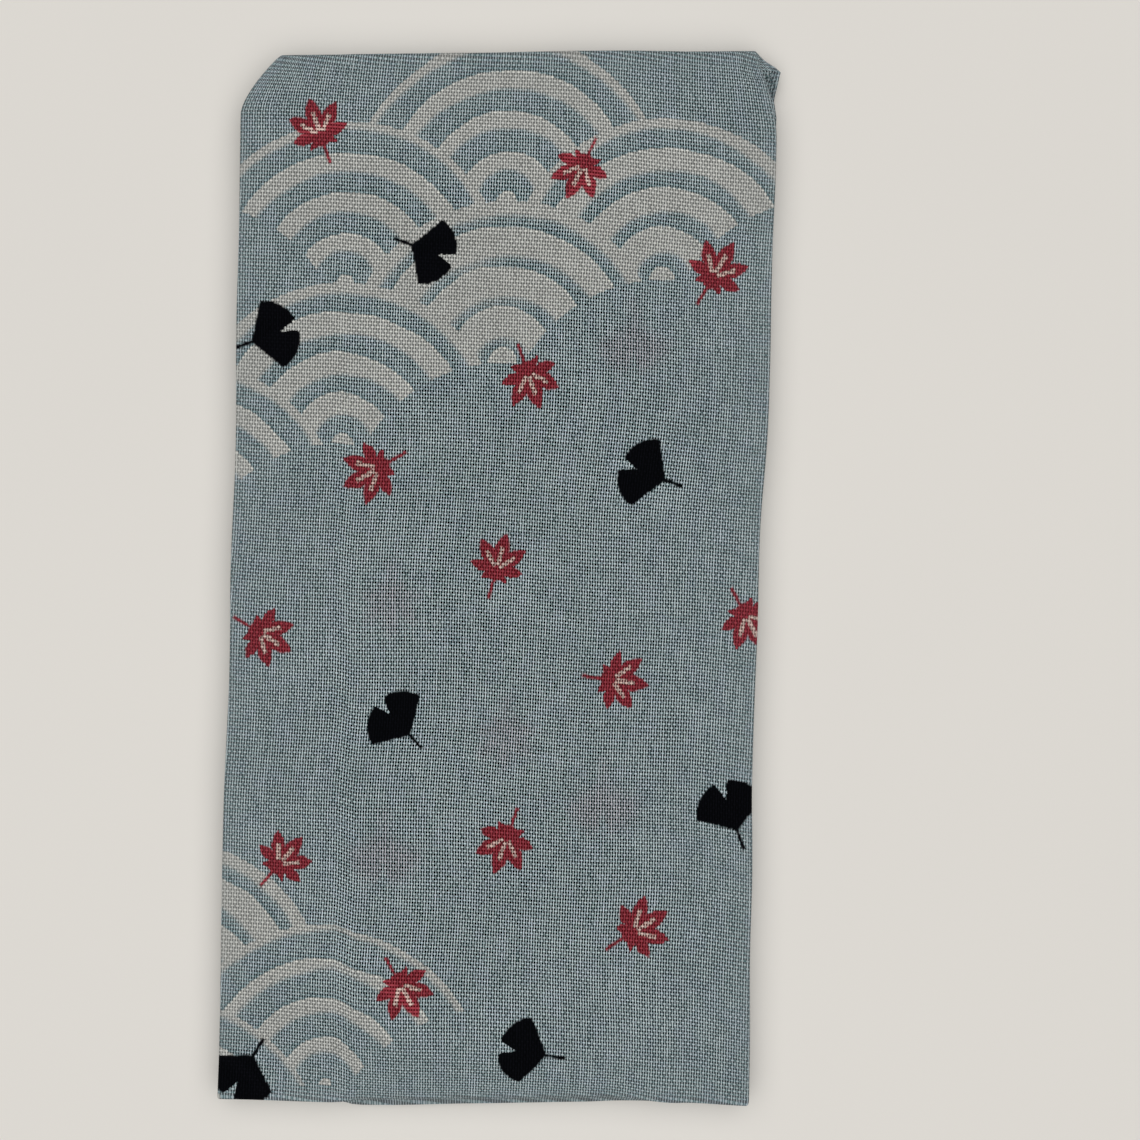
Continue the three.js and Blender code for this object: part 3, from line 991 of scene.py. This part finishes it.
def cotton_material(pattern):
    """Printed plain-weave cotton, pressed: matt, with painted shade in the gaps between uneven
    threads and on the threads themselves, and dye that is a little uneven and ends raggedly at the
    threads."""
    material, add = new_material("printed_cotton_weave")
    flat = add("UVMap", uv_map="Flat")
    threads = add("UVMap", uv_map="Threads")
    cell, place, tone, height, gap_shade_lift = weave_pattern(add, threads)

    # The print is read part of the way back to the crossing's middle, and a little off it
    ragged = add("TexWhiteNoise", (cell,), 1, **PLANE)
    ragged = add("VectorMath.SUBTRACT", (ragged, (0.5, 0.5, 0.5)))
    ragged = add("VectorMath.SUBTRACT", (ragged, place))
    reach = (RAGGED * pattern.warp_pitch, RAGGED * pattern.weft_pitch, 0)
    dyed_at = add("VectorMath.MULTIPLY_ADD", (ragged, reach, flat))

    # Slow unevenness of the dye: one drift for its depth, one for its hue
    depth, hue = (
        add("TexNoise", {"Vector": flat, "Scale": 1 / size, "Detail": detail}, **PLANE)
        for size, detail in (DEPTH_DRIFT, HUE_DRIFT)
    )
    depth = add("Math.SUBTRACT", (depth, 0.5))
    waves, line, shade = wave_pattern(add, dyed_at, pattern.scale_radius, depth)
    red, vein, black, red_ghost, dark_ghost = leaf_pattern(add, dyed_at)

    tint = add("MapRange", {"Value": hue, "From Min": 0.44, "From Max": 0.66}, **SMOOTH)
    mix = {"data_type": "RGBA", "output": 2}
    ghost = add("Math.ADD", (red_ghost, dark_ghost))
    dye = ground = np.array(pattern.ground)
    for share, by in ((tint, BLUER), (ghost, PURPLER), (shade, DEEPER)):
        dye = add("Mix", {0: share, 6: dye, 7: ground * by}, **mix)
    pale = add("Math.MULTIPLY", (waves, 0.94))
    bright = add("Mix", {0: line, 6: pattern.pale, 7: linear(BRIGHT_LINE)}, **mix)
    for share, ink in (
        (pale, bright),
        (red, pattern.red),
        (vein, linear(VEIN_COLOUR)),
        (black, pattern.black),
    ):
        dye = add("Mix", {0: share, 6: dye, 7: ink}, **mix)

    # The gaps are painted shade that stands for the shaded ply below: paler where the print is
    # pale, and full of pigment where it is red or black
    gap = linear(GAP_SHADE)
    for share, below in ((pale, PALE_GAP_SHADE), (red, RED_GAP_SHADE), (black, BLACK_GAP_SHADE)):
        gap = add("Mix", {0: share, 6: gap, 7: linear(below)}, **mix)

    # Light goes further through pale yarn, and pigment fills the weave: both even the tones
    softer = add("Math.MULTIPLY_ADD", (pale, -PALE_EVENS, 1.0))
    softer = add("Math.MULTIPLY_ADD", (red, -RED_EVENS, softer))
    tone = add("Math.POWER", (tone, softer))
    mottle = add("Math.MULTIPLY_ADD", (depth, MOTTLE, 1.0))
    tone = add("Math.MULTIPLY", (tone, mottle))
    # Painted shade: where a thread turns down into its painted shade, its red is taken down
    # further, so the dye looks deeper and bluer there, though not on the pale print
    deepened_shade = add("Math.MULTIPLY_ADD", (tone, 1.16, -0.12))
    deepened_shade = add("Mix", {0: pale, 2: deepened_shade, 3: tone}, data_type="FLOAT")
    painted_light = add("CombineColor", (deepened_shade, tone, tone))
    yarn = add("Mix", {0: 1.0, 6: dye, 7: painted_light}, blend_type="MULTIPLY", **mix)
    covered = add("MapRange", {"Value": height, "From Min": 0.05, "From Max": 0.4}, **SMOOTH)
    # A shallower gap has its painted shade lifted up to 0.12 of the way towards the dye
    gap_shade_lift = add("MapRange", {"Value": gap_shade_lift, "From Min": 0.7, "To Max": 0.12})
    gap = add("Mix", {0: gap_shade_lift, 6: gap, 7: dye}, **mix)
    colour = add("Mix", {0: covered, 6: gap, 7: yarn}, **mix)

    # The yarns close up where the cloth turns, so yarn and gap show there more as their mean
    near_fold = add("Attribute", (), "Fac", attribute_name="near_fold")
    closed_up = add("Math.MULTIPLY", (near_fold, CLOSED_UP))
    mean = add("Math.MULTIPLY_ADD", (pale, PALE_MEAN, GROUND_MEAN))
    mean = add("Math.MULTIPLY_ADD", (red, RED_MEAN, mean))
    mean = add("Math.MULTIPLY", (mean, mottle))
    even = add("CombineColor", (mean, mean, mean))
    even = add("Mix", {0: 1.0, 6: dye, 7: even}, blend_type="MULTIPLY", **mix)
    colour = add("Mix", {0: closed_up, 6: colour, 7: even}, **mix)

    bump = add("Bump", {"Strength": 0.35, "Distance": 0.12 * MM, "Height": height})
    shader = add(
        "BsdfPrincipled",
        {
            "Base Color": colour, "Roughness": 0.88, "Specular IOR Level": 0.02,
            "Sheen Weight": 0.02, "Sheen Roughness": 0.5, "Normal": bump,
        },
    )
    add("OutputMaterial", (shader,), None)
    return material


def floor_material(colour):
    """Matt coated board: an even warm white, with the faintest cloudiness."""
    material, add = new_material("matt_white_board")
    place = add("TexCoord", (), "Object")
    cloud = add("TexNoise", {"Vector": place, "Scale": 9.0, "Detail": 3.0})
    darker = np.array(colour) * CLOUDIER
    shade = add("Mix", {0: cloud, 6: colour, 7: darker}, 2, data_type="RGBA")
    shader = add(
        "BsdfPrincipled", {"Base Color": shade, "Roughness": 0.75, "Specular IOR Level": 0.2}
    )
    add("OutputMaterial", (shader,), None)
    return material


def linked_object(name, data):
    """A new object at the origin, in the scene."""
    made = bpy.data.objects.new(name, data)
    bpy.context.scene.collection.objects.link(made)
    return made


class TOWEL_OT_cloth(bpy.types.Operator):
    """Fold the printed cotton strip into its packet"""

    bl_idname = "towel.cloth"
    bl_label = "Folded Cloth"

    def execute(self, context):
        cloth, pattern = context.scene.towel_cloth, context.scene.towel_print
        piece = linked_object("tenugui_cloth", cloth_mesh(cloth, pattern))
        piece.data.materials.append(cotton_material(pattern))
        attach(piece, "root")
        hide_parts("cloth")
        return {"FINISHED"}


class TOWEL_OT_stage(bpy.types.Operator):
    """Lay the floor, hang the soft light and set up the camera straight above the packet"""

    bl_idname = "towel.stage"
    bl_label = "Stage"

    def execute(self, context):
        stage = context.scene.towel_stage
        side = stage.floor_size / 2
        mesh = bpy.data.meshes.new("floor")
        places = [(x * side, y * side, 0) for x, y in ((-1, -1), (1, -1), (1, 1), (-1, 1))]
        mesh.from_pydata(places, [], [(0, 1, 2, 3)])
        floor = linked_object("floor", mesh)
        floor.data.materials.append(floor_material(stage.floor_colour))

        lamp = bpy.data.lights.new("overhead", "AREA")
        lamp.shape, lamp.size, lamp.size_y = "RECTANGLE", stage.key_width, stage.key_depth
        lamp.energy = stage.key_power
        lamp.color = LAMP_COLOUR
        light = linked_object("overhead", lamp)
        light.location = LAMP_PLACE

        world = bpy.data.worlds.new("even_light")
        world.use_nodes = True
        sky = world.node_tree.nodes["Background"]
        sky.inputs["Color"].default_value = linear(SKY_COLOUR)
        sky.inputs["Strength"].default_value = stage.sky_strength
        context.scene.world = world
        context.scene.view_settings.view_transform = "Standard"

        lens = bpy.data.cameras.new("camera")
        lens.lens, lens.sensor_width, lens.clip_start = 50, 36, 0.01
        lens.shift_x = CAMERA_SHIFT
        camera = linked_object("camera", lens)
        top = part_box("cloth")[1].z
        camera.location = (*CAMERA_OFFSET, top + stage.camera_height)
        context.scene.camera = camera
        return {"FINISHED"}


class TOWEL_PT_panel(bpy.types.Panel):
    """Lists what the towel is built from"""

    bl_idname = "TOWEL_PT_panel"
    bl_label = "Tenugui Towel"
    bl_space_type = "VIEW_3D"
    bl_region_type = "UI"
    bl_category = "Towel"

    def draw(self, context):
        for group, operator in (
            (context.scene.towel_cloth, TOWEL_OT_cloth),
            (context.scene.towel_print, None),
            (context.scene.towel_stage, TOWEL_OT_stage),
        ):
            box = self.layout.box()
            for name in group.bl_rna.properties.keys():
                if name not in ("rna_type", "name"):
                    box.prop(group, name)
            if operator is not None:
                box.operator(operator.bl_idname)


CLASSES = (
    ClothSettings,
    PrintSettings,
    StageSettings,
    TOWEL_OT_cloth,
    TOWEL_OT_stage,
    TOWEL_PT_panel,
)


def register():
    for made in CLASSES:
        bpy.utils.register_class(made)
    bpy.types.Scene.towel_cloth = PointerProperty(type=ClothSettings)
    bpy.types.Scene.towel_print = PointerProperty(type=PrintSettings)
    bpy.types.Scene.towel_stage = PointerProperty(type=StageSettings)


def unregister():
    del bpy.types.Scene.towel_stage
    del bpy.types.Scene.towel_print
    del bpy.types.Scene.towel_cloth
    for made in reversed(CLASSES):
        bpy.utils.unregister_class(made)


def main():
    register()
    bpy.ops.towel.cloth()
    bpy.ops.towel.stage()


if __name__ == "__main__":
    main()
